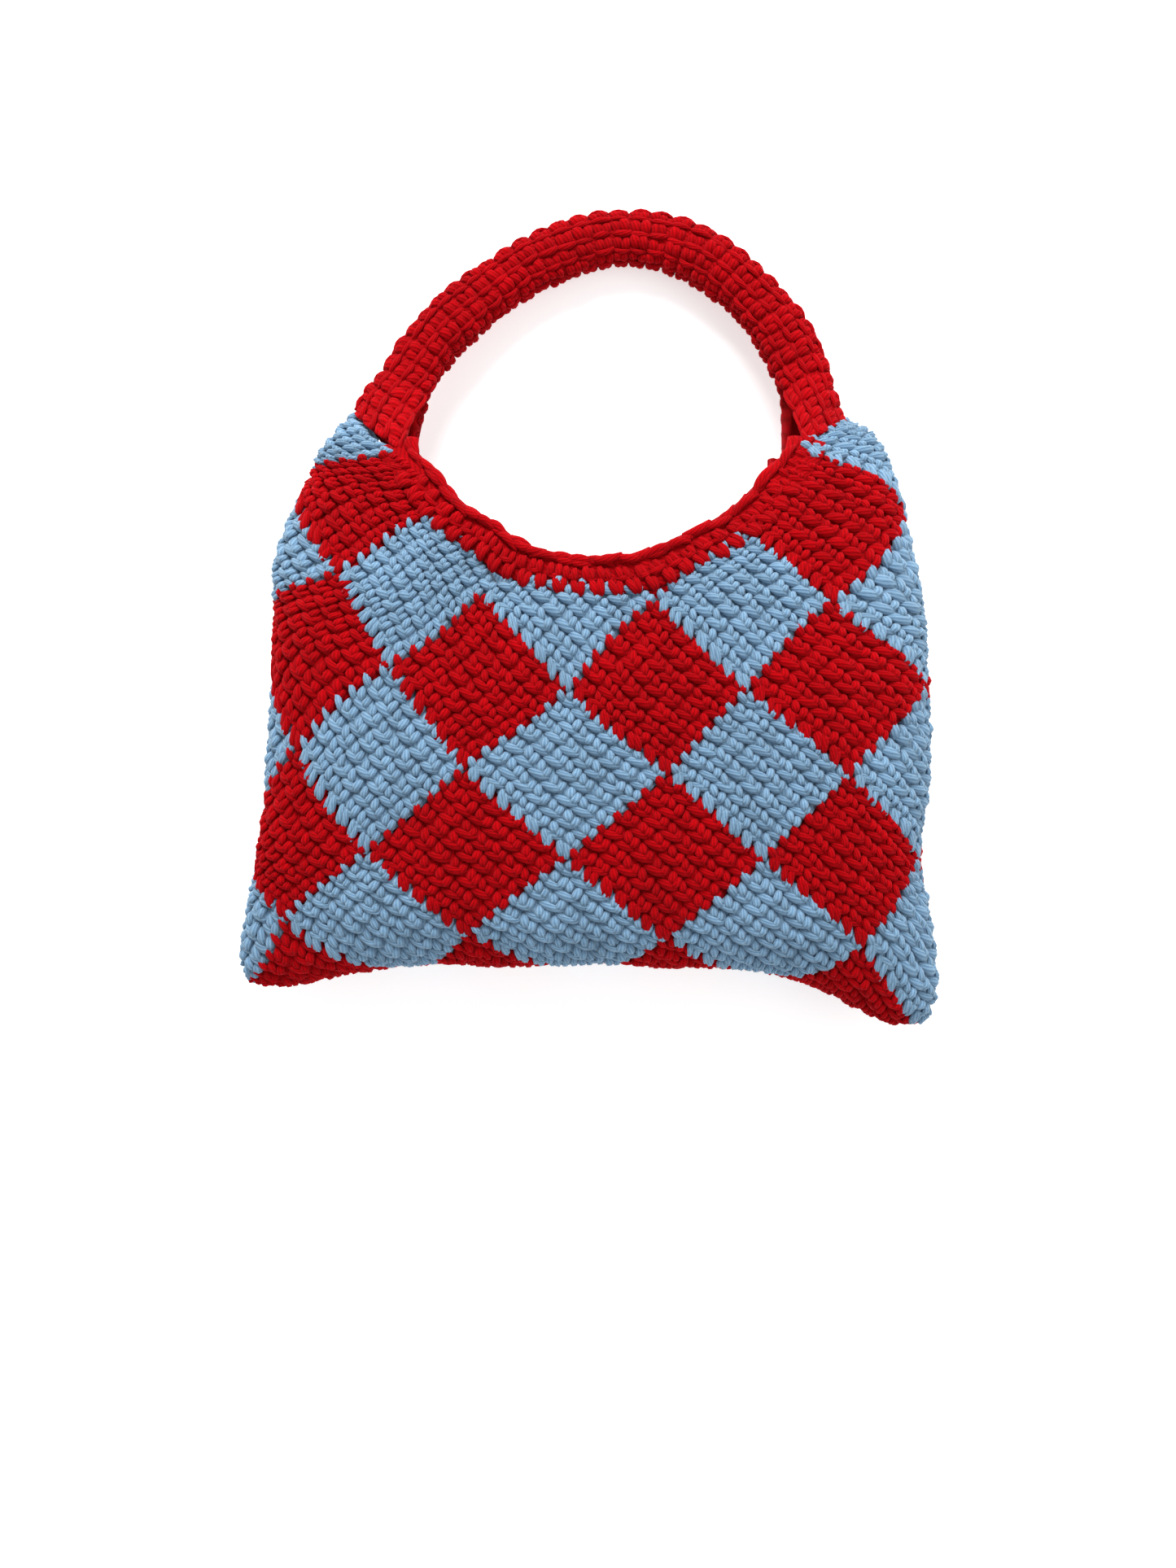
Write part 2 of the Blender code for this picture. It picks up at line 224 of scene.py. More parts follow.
rising = thinning(0.0, TAPER, "Start Share")
falling = thinning(1.0, 1.0 - TAPER, "End Share")
swell = add("ShaderNodeMath", [rising, falling], operation="MULTIPLY")
girth = add("ShaderNodeMath", [swell, given["Thickness"]], operation="MULTIPLY")
upright = add("GeometryNodeSetCurveNormal", {"Curve": evened}, mode="Z_UP")
measured = add("GeometryNodeStoreNamedAttribute", {
    "Geometry": upright, "Name": "run", "Value": place.outputs["Length"]},
    data_type="FLOAT", domain="POINT")
ring = add("GeometryNodeCurvePrimitiveCircle", {"Resolution": given["Sides"], "Radius": 1.0})
marked = add("GeometryNodeStoreNamedAttribute", {
    "Geometry": ring, "Name": "around", "Value": add("GeometryNodeInputPosition")},
    data_type="FLOAT_VECTOR", domain="POINT")
squash = add("ShaderNodeCombineXYZ", [1.0, given["Flat"], 1.0])
oval = add("GeometryNodeTransform", {"Geometry": marked, "Scale": squash})
strand = add("GeometryNodeCurveToMesh", {"Curve": measured, "Profile Curve": oval,
                                         "Scale": girth, "Fill Caps": True})
total = add("ShaderNodeMath", [given["Columns"], given["Rows"]], operation="MULTIPLY")
index = add("GeometryNodeInputIndex")
column = add("ShaderNodeMath", [index, given["Columns"]], operation="MODULO")
row = add("ShaderNodeMath", [add("ShaderNodeMath", [index, given["Columns"]],
                                 operation="DIVIDE")], operation="FLOOR")
step = add("ShaderNodeCombineXYZ", [column, row, 0.0])
spread = add("ShaderNodeVectorMath", [step, given["Step"]], operation="MULTIPLY")
shake = add("FunctionNodeRandomValue", {"Min": (-1, -1, -0.6), "Max": (1, 1, 0.6),
                                        "Seed": given["Seed"]}, data_type="FLOAT_VECTOR")
shaken = add("ShaderNodeVectorMath", {0: shake}, operation="SCALE")
laid.links.new(given["Loose"], shaken.inputs["Scale"])
moved = add("ShaderNodeVectorMath", [spread, shaken], operation="ADD")
spots = add("ShaderNodeVectorMath", [moved, given["Origin"]], operation="ADD")
points = add("GeometryNodePoints", {"Count": total, "Position": spots})
last = add("ShaderNodeMath", [column, 1.5], operation="ADD")
beyond = add("FunctionNodeCompare", {"A": row, "B": last}, data_type="FLOAT",
             operation="GREATER_THAN")
cut = add("FunctionNodeBooleanMath", [beyond, given["Half"]], operation="NAND")
tilt = add("FunctionNodeRandomValue", {"Min": (-0.10, -0.08, -0.12), "Max": (0.10, 0.08, 0.12),
                                       "Seed": given["Seed"]}, data_type="FLOAT_VECTOR")
plump = add("FunctionNodeRandomValue", {"Min": 0.94, "Max": 1.07, "Seed": given["Seed"]},
            data_type="FLOAT")
copies = add("GeometryNodeInstanceOnPoints", {
    "Points": points, "Selection": cut, "Instance": strand, "Rotation": tilt, "Scale": plump})
toned = add("GeometryNodeStoreNamedAttribute", {
    "Geometry": copies, "Name": "tone", "Value": add("FunctionNodeRandomValue", {
        "Min": 0.0, "Max": 1.0, "Seed": given["Seed"]}, data_type="FLOAT")},
    data_type="FLOAT", domain="INSTANCE")
real = add("GeometryNodeRealizeInstances", [toned])
smooth_skin = add("GeometryNodeSetShadeSmooth", {"Geometry": real, "Shade Smooth": True})
dyed = add("GeometryNodeSetMaterial", {"Geometry": smooth_skin, "Material": given["Yarn"]})
whole = add("GeometryNodeJoinGeometry")
laid.links.new(given["Geometry"], whole.inputs[0])
laid.links.new(dyed.outputs[0], whole.inputs[0])
done = laid.nodes.new("NodeGroupOutput")
laid.links.new(whole.outputs[0], done.inputs[0])


def lay(cloth, **sizes):
    rows = cloth.modifiers.new("rows", "NODES")
    rows.node_group = laid
    for item in laid.interface.items_tree:
        key = item.name.lower().replace(" ", "_")
        if item.in_out == "INPUT" and key in sizes:
            rows[item.identifier] = sizes[key]


def finished(cloth):
    bpy.context.view_layer.update()
    graph = bpy.context.evaluated_depsgraph_get()
    plain = bpy.data.meshes.new_from_object(cloth.evaluated_get(graph))
    cloth.modifiers.clear()
    bpy.data.objects.remove(cloth)
    return plain


# The shape of the bag, as the squares are stretched over it: one row for each
# line between tiers, from the bottom fold up to the shoulders. Round the bag
# there are eight squares, and FINE samples of the skin for each.
BODY = np.array([250.0, 204.0, 66.0])    # across, up from the fold, off the table
ROUND = 2.7                              # 2 is an ellipse, more is squarer
WALL = 5.2                               # thickness of the worked fabric
FOLD = (0.059, -129.315)                 # where the fold's middle lies
FINE = 32
LOOP = 720                               # steps round the section's curve
AHEAD = 12                               # lines that the skin goes on beyond the top
# The columns are v, then left and right, shares of the width, then y_left,
# y_mid, y_right, ear_l and ear_r, shares of the height, then side, rise and
# drop, shares of the depth, then tight, turn, skew and ripple.
WIDE, HIGH, DEEP = slice(1, 3), slice(3, 8), slice(8, 11)
ODD = [9, 10, 12, 13]                    # columns that change sign across the fold
TIERS = np.array([
    (0.0, -0.498, 0.498, 0.007, 0, -0.017, 0.054, 0.105, 0.379, 0, 0, 0.00, 0, 0, 0),
    (0.5, -0.506, 0.506, 0.027, 0.006, -0.015, 0.027, 0.056, 0.402, 0.220, 0.220, 0, 0.030, 0, 0),
    (1.0, -0.491, 0.498, 0.093, 0.057, 0.025, 0, 0, 0.424, 0.364, 0.394, -0.05, 0.097, 0.033,
     -0.009),
    (2.0, -0.472, 0.478, 0.220, 0.195, 0.187, 0, 0, 0.455, 0.470, 0.477, -0.05, 0.094, -0.027, 0),
    (3.0, -0.457, 0.486, 0.392, 0.336, 0.329, 0, 0, 0.455, 0.530, 0.477, 0.03, 0.141, 0.020, 0.026),
    (4.0, -0.452, 0.489, 0.588, 0.474, 0.488, 0, 0, 0.455, 0.545, 0.477, 0.14, 0.127, -0.014, 0),
    (5.0, -0.447, 0.480, 0.713, 0.627, 0.623, 0, 0, 0.455, 0.500, 0.477, 0.26, 0.152, 0.123, 0.067),
    (6.0, -0.405, 0.456, 0.855, 0.738, 0.804, 0, 0, 0.439, 0.424, 0.462, 0.19, 0.097, 0.061, 0),
    (7.0, -0.384, 0.418, 0.912, 0.868, 0.923, 0, 0, 0.409, 0.348, 0.409, 0.46, -0.061, -0.052, 0),
    (8.0, -0.336, 0.380, 1.000, 0.949, 0.971, 0, 0, 0.348, 0.212, 0.242, 0.40, -0.061, -0.105, 0)])


# A smooth curve through a table's rows, with slopes from the rows either side.
def through(xs, ys, at):
    slope = np.gradient(ys, xs, axis=0)
    i = np.clip(np.searchsorted(xs, at, side="right") - 1, 0, len(xs) - 2)
    h = xs[i + 1] - xs[i]
    t = (at - xs[i]) / h
    if ys.ndim > 1:
        t, h = t[..., None], h[..., None]
    return ((2*t**3 - 3*t**2 + 1) * ys[i] + (t**3 - 2*t**2 + t) * h * slope[i]
            + (3*t**2 - 2*t**3) * ys[i + 1] + (t**3 - t**2) * h * slope[i + 1])


def bag_skin():
    rows = TIERS.copy()
    for columns, size in zip((WIDE, HIGH, DEEP), BODY):
        rows[:, columns] *= size
    mirror = rows[1:3][::-1].copy()
    mirror[:, 0] *= -1
    mirror[:, ODD] *= -1
    rows = np.vstack([mirror, rows])
    around = np.linspace(0, 8, 8 * FINE + 1)
    phi = np.linspace(0, 2 * math.pi, LOOP + 1)
    t = -np.sign(np.cos(phi)) * np.abs(np.cos(phi)) ** (2 / ROUND)
    lift = np.sign(np.sin(phi)) * np.abs(np.sin(phi)) ** (2 / ROUND)
    out = np.zeros((8 * FINE + 1, 8 * FINE + 1, 3))
    for k, h in enumerate(np.linspace(0, 8, 8 * FINE + 1)):
        (left, right, y_left, y_mid, y_right, ear_l, ear_r, side, rise, drop, tight, turn,
         skew, ripple) = through(rows[:, 0], rows[:, 1:], np.array([h]))[0]
        bow = np.where(t < 0, y_left - y_mid, y_right - y_mid) * t ** 2
        ear = np.where(t < 0, ear_l, ear_r) * (1.9 * t ** 4 - 1.1 * t ** 12)
        loop = np.stack([(left + right) / 2 + (right - left) / 2 * t + FOLD[0],
                         y_mid + bow - ear + FOLD[1],
                         np.maximum(side + np.where(lift > 0, rise, drop) * lift, 0.0)], 1)
        arc = np.concatenate([[0], np.cumsum(np.linalg.norm(np.diff(loop, axis=0), axis=1))])
        place = (arc[LOOP // 2] / 2 + arc[-1] / 8 * (
            around - 2 - turn + 2 / math.pi * tight * np.sin(math.pi * around / 2)
            + skew / 2 * (1 + np.cos(math.pi * around / 2))
            + ripple * np.sin(math.pi * around))) % arc[-1]
        for axis in range(3):
            out[k, :, axis] = np.interp(place, arc, loop[:, axis])
    return out


# The whole skin: one square's height of the other side below the fold, then the
# bag, then a little more in the direction in which it ends.
bag = bag_skin()
below = bag[FINE:0:-1, ::-1]
above = bag[-1] + (bag[-1] - bag[-2]) * np.arange(1, AHEAD + 1)[:, None, None]
SKIN = np.concatenate([below, bag, above])


def unit(way):
    return way / np.maximum(np.linalg.norm(way, axis=-1, keepdims=True), 1e-9)


# Which way is out at each point of a skin, smoothed as many times as softer says.
def outward_of(skin, closed, softer=4):
    if closed:
        skin = skin[:, :-1]
        way = np.cross(np.roll(skin, -1, axis=1) - np.roll(skin, 1, axis=1),
                       np.gradient(skin, axis=0))
    else:
        way = np.cross(np.gradient(skin, axis=1), np.gradient(skin, axis=0))
    for _ in range(softer):
        if closed:
            way = (np.roll(way, 1, axis=1) + 2 * way + np.roll(way, -1, axis=1)) / 4
        else:
            way[:, 1:-1] = (way[:, :-2] + 2 * way[:, 1:-1] + way[:, 2:]) / 4
        way[1:-1] = (way[:-2] + 2 * way[1:-1] + way[2:]) / 4
    return unit(np.concatenate([way, way[:, :1]], axis=1) if closed else way)


# Lays flat stitches on a skin: across and up count its columns and its lines.
def laid_on(skin, ways, across, up, height):
    across = np.clip(across, 0, skin.shape[1] - 1.001)
    up = np.clip(up, 0, skin.shape[0] - 1.001)
    i, j = across.astype(int), up.astype(int)
    s, t = (across - i)[:, None], (up - j)[:, None]
    here = [(g[j, i] * (1 - s) + g[j, i + 1] * s) * (1 - t)
            + (g[j + 1, i] * (1 - s) + g[j + 1, i + 1] * s) * t for g in (skin, ways)]
    return here[0] + here[1] * height[:, None]


OUT_WAY = outward_of(SKIN, True)


def over_bag(u, v, height):
    return laid_on(SKIN, OUT_WAY, (u % 8) * FINE, (v + 1) * FINE, height)


# The squares: seven by seven stitches each, with a slanted bar lying over two
# return strands in every stitch, and loops that reach over the next square.
# The two half squares stop at the diagonal, and one square has a row more.
STITCHES = 7
SIDE = 43.4                      # a square's side before it is stretched
CELL = SIDE / STITCHES
BAR, STRAND = 1.58, 1.40         # half the thickness of the bar and the strands
PUFF = 1.6                       # how far a square's middle stands out
SUNK = 0.9                       # how far the stitches lie in the cloth
RIB = 0.35                       # how far the inner side's ribs stand out
NEAR = 1.2                       # the wool this near the table is pressed flat
GROOVE = 0.40                    # depth of the grooves between rows
STITCH_FOOT = -2.2               # the stitches reach down to here, the back is lower
DIVE = 14.0                      # how steeply the row more goes under the rim
HALVES, TALLER = ((5, 2), (5, 6)), (5, 1)    # tier and place round the bag


# The cloth's back: a closed pad under the stitches, ribbed on the inner side.
# top is its outer side, and pit is how far that sinks between the rows.
def pad(name, long_way, cross_way, cuts, ribs, half=False, top=-0.5, pit=0.0):
    m, n = cuts, 3 * ribs
    rest = 3 if half else n
    index, points = {}, []
    for side in (0, 1):
        for i in range(m + 1):
            for j in range(n + 1):
                if j > i + rest:
                    continue
                rib = RIB * math.cos(2 * math.pi * ribs * j / n)
                hollow = pit if j % 3 == 0 else 0.0
                height = (-WALL + 0.5 + rib) if side else top - hollow
                index[side, i, j] = len(points)
                points.append((long_way * i / m, cross_way * j / n, height))
    faces = []
    for i in range(m):
        for j in range(n):
            ring = [c for c in ((i, j), (i + 1, j), (i + 1, j + 1), (i, j + 1)) if (0, *c) in index]
            if len(ring) >= 3:
                faces.append([index[0, *c] for c in ring])
                faces.append([index[1, *c] for c in reversed(ring)])
    line = [(i, 0) for i in range(m)] + [(m, j) for j in range(n)]
    line += [(i, n) for i in range(m, n - rest, -1)]
    line += [(i, i + rest) for i in range(n - rest, 0, -1)] + [(0, j) for j in range(rest, 0, -1)]
    for a, b in zip(line, line[1:] + line[:1]):
        faces.append([index[0, *b], index[0, *a], index[1, *a], index[1, *b]])
    mesh = bpy.data.meshes.new(name)
    mesh.from_pydata(points, [], faces)
    flat = np.array(points)
    turn = flat[:, 1] / CELL * math.pi
    marks = np.stack([np.cos(turn), np.sin(turn), np.zeros(len(flat))], 1)
    mesh.attributes.new("around", "FLOAT_VECTOR", "POINT").data.foreach_set("vector", marks.ravel())
    mesh.attributes.new("run", "FLOAT", "POINT").data.foreach_set("value", flat[:, 0].copy())
    mesh.attributes.new("tone", "FLOAT", "POINT").data.foreach_set("value", np.full(len(flat), 0.1))
    cloth = bpy.data.objects.new(name, mesh)
    bpy.context.scene.collection.objects.link(cloth)
    return cloth


def worked(half, rows=STITCHES):
    c = CELL
    cloth = pad("square_back", SIDE, rows * c, 3 * STITCHES, rows, half, -0.1, 1.4)
    grid = dict(columns=STITCHES, rows=rows, step=(c, c, 0.0), loose=0.22,
                half=half, yarn=RED, flat=0.8)
    lay(cloth, start=(-0.11*c, 0.08*c, -1.4), start_lean=(0.14*c, 0.12*c, 0.75),
        end_lean=(0.74*c, 0.26*c, 0.75), end=(1.07*c, 0.43*c, -1.4), thickness=BAR,
        start_share=0.40, end_share=0.40, sides=7, steps=7, origin=(0.0, 0.0, 0.0), seed=1, **grid)
    back = dict(thickness=STRAND, start_share=0.50, end_share=0.50, sides=6, steps=5,
                origin=(0.0, 0.0, 0.0), **grid)
    lay(cloth, start=(0.46*c, 0.40*c, -0.6), start_lean=(0.40*c, 0.48*c, 0.8),
        end_lean=(0.17*c, 0.76*c, 0.8), end=(0.06*c, 0.92*c, -1.2), seed=2, **back)
    lay(cloth, start=(0.74*c, 0.34*c, -0.6), start_lean=(0.78*c, 0.45*c, 0.8),
        end_lean=(0.72*c, 0.74*c, 0.8), end=(0.61*c, 0.94*c, -1.2), seed=3, **back)
    edge = dict(columns=STITCHES, rows=1, step=(c, 0.0, 0.0), loose=0.3, half=False,
                yarn=RED, flat=1.0)
    for seed, ahead, up in ((4, 0.06, 0.0), (5, 0.34, 0.04)):
        lay(cloth, start=(0.56*c, -0.46*c, -0.8), start_lean=(0.52*c, -0.42*c, 1.3),
            end_lean=(0.12*c, 0.10*c, 1.4), end=(-0.02*c, 0.34*c, -0.8), thickness=1.35,
            start_share=0.50, end_share=0.50, sides=6, steps=6, origin=(ahead*c, up*c, 0.4),
            seed=seed, **edge)
    if not half:
        edge.update(columns=1, rows=STITCHES, step=(0.0, c, 0.0))
        lay(cloth, start=(-0.38*c, 0.30*c, -0.8), start_lean=(-0.34*c, 0.26*c, 1.1),
            end_lean=(-0.02*c, 0.06*c, 1.1), end=(0.22*c, -0.02*c, -1.2), thickness=1.5,
            start_share=0.50, end_share=0.50, sides=6, steps=5, origin=(0.0, 0.10*c, 0.4),
            seed=6, **edge)
    return finished(cloth)


FLAT = {"full": worked(False), "half": worked(True), "tall": worked(False, STITCHES + 1)}


# A piece of the bag: the flat stitches, moved to their places and dyed.
def dressed(name, node, flat, place, yarn):
    mesh = flat.copy()
    mesh.name = name
    high = place[:, 2]
    pressed = NEAR * np.exp(np.minimum(high / NEAR, 1) - 1)
    place[:, 2] = np.where(high < NEAR, pressed, high)
    mesh.vertices.foreach_set("co", (place * 0.001).astype(np.float32).ravel())
    mesh.materials.clear()
    mesh.materials.append(yarn)
    mesh.polygons.foreach_set("use_smooth", np.ones(len(mesh.polygons), dtype=bool))
    mesh.update()
    piece = bpy.data.objects.new(name, mesh)
    bpy.context.scene.collection.objects.link(piece)
    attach(piece, "root")
    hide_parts(node)


def points_of(mesh):
    out = np.zeros(len(mesh.vertices) * 3, dtype=np.float32)
    mesh.vertices.foreach_get("co", out)
    return out.reshape(-1, 3).astype(float)


# Each square has its own slight waviness, bulges in its middle and has grooves
# between its rows, before it is laid over the bag at its tier and place.
for node in sorted(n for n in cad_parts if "_square_" in n):
    shade, _, tier, k = node.split("_")
    tier, k = int(tier), int(k)
    around = k + (0.0 if tier % 2 else 0.5)
    kind = "half" if (tier, k) in HALVES else "tall" if (tier, k) == TALLER else "full"
    flat = FLAT[kind]
    x, y, z = points_of(flat).T
    flat_y = y
    rng = np.random.default_rng(100 * tier + k)
    wobble = rng.uniform(0, 2 * math.pi, 6)
    x = x + 0.35 * np.sin(y / 6.1 + wobble[0]) + 0.25 * np.sin(x / 4.3 + wobble[1])
    y = y + 0.35 * np.sin(x / 5.7 + wobble[2]) + 0.25 * np.sin(y / 4.9 + wobble[3])
    p, q = x / SIDE, y / SIDE
    crown = np.clip(4 * p * (1 - p), 0, 1) * np.clip(4 * q * (1 - q), 0, 1)
    groove = GROOVE * np.cos(2 * math.pi * (flat_y / CELL - 0.5)) * (z > STITCH_FOOT)
    z = z - SUNK + PUFF * (crown ** 0.6 - 0.55) + groove + 0.25 * np.sin(x / 7 + y / 9 + wobble[4])
    z = z - DIVE * np.clip(q - 1, 0, 0.1) * np.clip(1 - p, 0, 1)
    place = over_bag(around - 0.5 + (p + q) / 2, tier + q - p, z)
    dressed("worked_" + node, node, flat, place, RED if shade == "red" else BLUE)

# The handle: one crocheted strip folded lengthwise, its long edges meeting on
# the arch's inner side and its ends opening on to the shoulders' upper edges.
HANDLE = np.array([22.0, 15.5])          # across the arch, and off the table
RISE = 79.0                              # from the handle's feet to its top
LIFT = 1.7                               # how far the top stays off the table
SLIT = 0.9                               # gap between the strip's long edges
SPLAY = 30.0                             # length over which the strip opens
FOOT, SHOULDER = 0.94, 0.38              # shares of the bag's height and depth
ALONG, ACROSS = 240, 80                  # steps of the strip's skin
ARCH = np.array([  # x, up, high
    (-0.298, 0.000, 0.99), (-0.284, 0.139, 0.90), (-0.250, 0.373, 0.64), (-0.196, 0.589, 0.39),
    (-0.126, 0.778, 0.19), (-0.050, 0.918, 0.07), (0.046, 0.997, 0.00), (0.138, 0.953, 0.07),
    (0.216, 0.791, 0.19), (0.276, 0.576, 0.39), (0.310, 0.367, 0.61), (0.328, 0.177, 0.83),
    (0.344, 0.006, 0.96)])
lying = HANDLE[1] / 2 + LIFT
arch = np.stack([ARCH[:, 0] * BODY[0] + FOLD[0], FOOT * BODY[1] + ARCH[:, 1] * RISE + FOLD[1],
                 lying + ARCH[:, 2] * (SHOULDER * BODY[2] - lying)], 1)
ARCH_AT = np.concatenate([[0], np.cumsum(np.linalg.norm(np.diff(arch, axis=0), axis=1))])
LENGTH = ARCH_AT[-1]


# Points of the strip: s runs along the arch, w from one long edge to the other.
def handle_skin(s, w):
    here = through(ARCH_AT, arch, s)
    along = unit(through(ARCH_AT, arch, np.minimum(s + 0.5, LENGTH))
                 - through(ARCH_AT, arch, np.maximum(s - 0.5, 0.0)))
    side = unit(np.cross([0.0, 0.0, 1.0], along))
    up = np.cross(along, side)
    first = math.asin(SLIT / HANDLE[1])
    turn = first + (math.pi - first) * (w + 1)
    wide = HANDLE[0] / 2 * np.sign(np.cos(turn)) * np.abs(np.cos(turn)) ** 0.8
    thick = HANDLE[1] / 2 * np.sign(np.sin(turn)) * np.abs(np.sin(turn)) ** 0.8
    fold = here[:, None] - side[:, None] * wide[:, None] + up[:, None] * thick[:, None]
    left = s < LENGTH / 2
    away = np.where(left, s, LENGTH - s)[:, None, None]
    share = np.clip(away / SPLAY, 0.0, 1.0)
    share = share * share * (3 - 2 * share)
    level = np.zeros(len(w))
    start = np.where(left[:, None, None], over_bag(-0.5 * w, 8 - np.abs(w), level),
                     over_bag(4 + 0.5 * w, 8 - np.abs(w), level))
    lead = np.where(left[:, None], along, -along)[:, None]
    spot = (1 - share) * (start + lead * away) + share * fold
    spot[..., 2] = np.maximum(spot[..., 2], 0.0)
    return spot


uneven = handle_skin(np.linspace(0.0, LENGTH, ALONG + 1), np.linspace(-1.0, 1.0, 121))
strip = np.zeros((len(uneven), ACROSS + 1, 3))
for i, line in enumerate(uneven):
    arc = np.concatenate([[0], np.cumsum(np.linalg.norm(np.diff(line, axis=0), axis=1))])
    for axis in range(3):
        strip[i, :, axis] = np.interp(np.linspace(0, arc[-1], ACROSS + 1), arc, line[:, axis])
strip_way = -outward_of(strip, False)

POST, BAND = 1.95, 1.25                  # half the thickness of the puffs and the bars
ROWS, PITCH, ROW = 9, 7.2, 6.8           # rows round the handle, and a stitch's size
count = round(LENGTH / PITCH)
cloth = pad("handle_cloth", LENGTH, ROWS * ROW, 2 * count, ROWS, top=-0.2)
c, r = LENGTH / count, ROW
grid = dict(columns=count, rows=ROWS, step=(c, r, 0.0), loose=0.18, half=False, yarn=RED, flat=0.72)
for seed, lean in ((11, -0.18), (12, 0.18)):
    lay(cloth, start=((0.5 + lean)*c, 0.12*r, -1.6), start_lean=((0.5 + 1.2*lean)*c, 0.38*r, 1.0),
        end_lean=((0.5 + 1.2*lean)*c, 0.80*r, 0.9), end=((0.5 + lean)*c, 1.06*r, -1.8),
        thickness=POST, start_share=0.55, end_share=0.45, sides=8, steps=6, seed=seed,
        origin=(0.0, 0.0, -0.2), **grid)
lay(cloth, start=(-0.06*c, 0.22*r, -1.1), start_lean=(0.25*c, 0.0, 1.4),
    end_lean=(0.75*c, 0.0, 1.4), end=(1.06*c, 0.22*r, -1.1), thickness=BAND, start_share=0.5,
    end_share=0.5, sides=7, steps=6, origin=(0.0, 0.0, 0.0), seed=13, **grid)
ends = dict(columns=1, rows=ROWS, step=(0.0, r, 0.0), loose=0.3, half=False, yarn=RED, flat=1.0,
            thickness=1.5, start_share=0.8, end_share=0.95, sides=6, steps=5)
for seed, root, way in ((14, 0.0, -1), (15, LENGTH, 1)):
    for shift in (0.28, 0.62):
        lay(cloth, start=(0.42*way*c, 0.45*r, -1.2), start_lean=(0.36*way*c, 0.45*r, 1.3),
            end_lean=(-0.1*way*c, shift*r, 1.5), end=(-0.4*way*c, shift*r, -1.0),
            origin=(root, 0.0, 0.0), seed=seed, **ends)
flat = finished(cloth)
x, y, z = points_of(flat).T
x, y = x + 0.4 * np.sin(y / 5.3 + x / 11), y + 0.4 * np.sin(x / 6.1)
z = z - SUNK - 1.0 + 0.25 * np.sin(x / 8 + 1.0)
place = laid_on(strip, strip_way, y / (ROWS * ROW) * ACROSS, x / LENGTH * ALONG, z)
dressed("worked_handle", "handle", flat, place, RED)

# The rims: a round of crochet along the front and the back of the mouth, with
# a smooth chain on the free edge and teeth that reach down over the squares.
RIM_W, RIM_DIP = 14.5, 2.0               # width at mid mouth, and how far its edge sinks
RIM_TALL, RIM_PITCH = 13.5, 6.8          # the flat rim's width, and a stitch's length
SEAM = 0.4                               # gap between a rim's ends and the handle's
SHARE_LOW, SHARE_HIGH, PER_SHARE = -2.0, 1.4, 20    # how the band's skin is sampled
CENTRE = np.array([0.014 * BODY[0] + FOLD[0], 1.003 * BODY[1] + FOLD[1], 0.0])
REACH = np.array([  # place along the rim, share of RIM_W
    (-1.0, 0.10), (0.0, 0.31), (1.0, 0.66), (2.0, 1.38), (2.5, 1.00), (3.0, 1.07),
    (4.0, 0.62), (5.0, 0.34), (6.0, 0.10)])
CORNERS = np.array([(0.5, 7.0), (1.0, 6.0), (1.5, 5.0), (2.5, 5.0), (3.0, 6.0), (3.5, 7.0)])
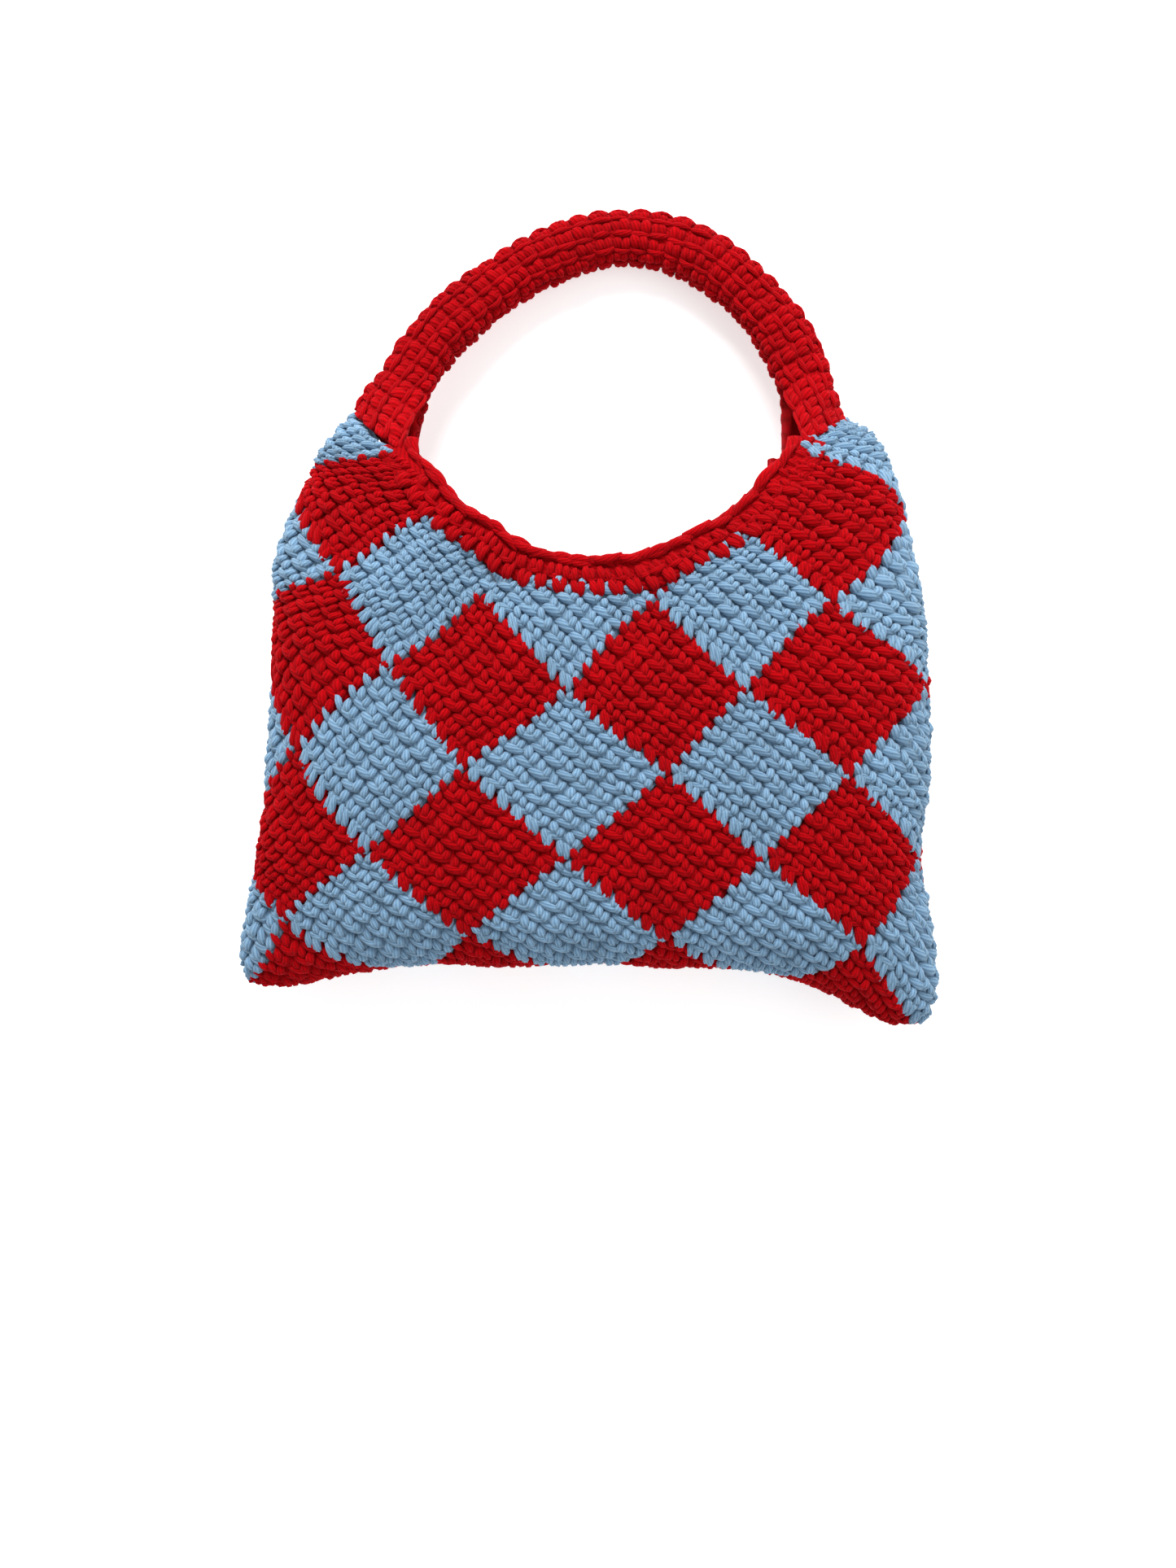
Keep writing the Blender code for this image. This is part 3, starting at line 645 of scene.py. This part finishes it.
for side in ("front", "back"):
    k = np.linspace(-0.35, 5.35, 229)
    shares = np.linspace(SHARE_LOW, SHARE_HIGH, round((SHARE_HIGH - SHARE_LOW) * PER_SHARE) + 1)
    u = np.interp(k, range(6), CORNERS[:, 0])
    v = np.interp(k, range(6), CORNERS[:, 1])
    u = 8 - u if side == "back" else u
    level = np.zeros(len(k))
    root = over_bag(u, v, level)
    face = over_bag(u, v, level + 1.0) - root
    s = np.where(k < 2, SEAM + RIM_W * 0.8 * -k, LENGTH - SEAM - RIM_W * 0.8 * (k - 5))
    long_edge = np.array([1.0 if side == "back" else -1.0])
    beside = handle_skin(np.clip(s, 0, LENGTH), long_edge)[:, 0]
    ends = ((k < 0) | (k > 5))[:, None]
    root = np.where(ends, beside, root)
    lean = CENTRE - root
    lean[:, 2] = 0.0
    lean = unit(lean - face * np.sum(lean * face, axis=1, keepdims=True) * 0.5)
    reach = (RIM_W * through(REACH[:, 0], REACH[:, 1], k))[:, None, None]
    held = np.clip(shares, 0.0, 1.0)[:, None]
    edge = root + lean * reach[:, 0].clip(5.0)
    for _ in range(80):
        edge[1:-1] = (edge[:-2] + 2 * edge[1:-1] + edge[2:]) / 4
    band = (root[:, None] + (edge - root)[:, None] * shares[:, None]
            - face[:, None] * RIM_DIP * held ** 2)
    band[..., 2] = np.maximum(band[..., 2], 0.0)
    band = band.swapaxes(0, 1)
    band_way = outward_of(band, False, 8) * (-1 if side == "back" else 1)
    long_way = np.concatenate([[0], np.cumsum(np.linalg.norm(np.diff(root, axis=0), axis=1))])
    length = long_way[-1]
    count = round(length / RIM_PITCH)
    c = length / count
    cloth = pad("rim_cloth", length, RIM_TALL, 2 * count, 2)
    same = dict(rows=1, step=(c, 0.0, 0.0), loose=0.22, half=False, yarn=RED, flat=0.8)
    teeth, posts = [dict(origin=(a, 0.0, 0.0), columns=round((b - a) / c), sides=6, steps=6, **same)
                    for a, b in (np.interp(ks, k, long_way) for ks in ((0.3, 4.7), (0.4, 4.6)))]
    for seed, lean in ((21, -0.08), (22, 0.30)):
        lay(cloth, start=((0.40 + 0.4*lean)*c, -1.0, -0.9),
            start_lean=((0.4 + 0.5*lean)*c, -0.8, 1.6), end_lean=((0.22 + lean)*c, 2.4, 1.7),
            end=((0.22 + 1.2*lean)*c, 4.9, -1.2), thickness=1.5, start_share=0.4, end_share=0.6,
            seed=seed, **teeth)
    for seed, lean in ((23, 0.30), (24, 0.68)):
        lay(cloth, start=(lean*c, 4.2, -1.2), start_lean=(lean*c, 5.4, 1.1),
            end_lean=((lean - 0.08)*c, 7.6, 1.1), end=((lean - 0.12)*c, 9.2, -1.6),
            thickness=1.6, start_share=0.6, end_share=0.6, seed=seed, **posts)
    lay(cloth, start=(0.0, 5.6, -1.2), start_lean=(0.25*c, 4.4, 1.2), end_lean=(0.75*c, 4.4, 1.2),
        end=(1.0*c, 5.7, -1.2), thickness=1.15, start_share=0.5, end_share=0.5, seed=25, **posts)
    for seed, near, far in ((26, 10.6, 12.1), (27, 12.3, 10.7)):
        lay(cloth, start=(-0.55*c, near, -0.6), start_lean=(0.0, far, 1.2),
            end_lean=(0.8*c, far, 1.2), end=(1.35*c, near, -0.6), thickness=1.45,
            start_share=0.5, end_share=0.5, sides=7, steps=7, columns=count,
            origin=(0.0, 0.0, 0.0), seed=seed, **same)
    flat = finished(cloth)
    x, y, z = points_of(flat).T
    x = length - x if side == "back" else x
    place_k = np.interp(x, long_way, np.arange(len(long_way)))
    wide = np.interp(place_k, np.arange(len(k)), np.linalg.norm(edge - root, axis=1))
    share = 1.0 - (RIM_TALL - y) / wide
    place = laid_on(band, band_way, place_k, (share - SHARE_LOW) * PER_SHARE, z - SUNK + 0.5)
    dressed("worked_rim_" + side, "rim_" + side, flat, place, RED)
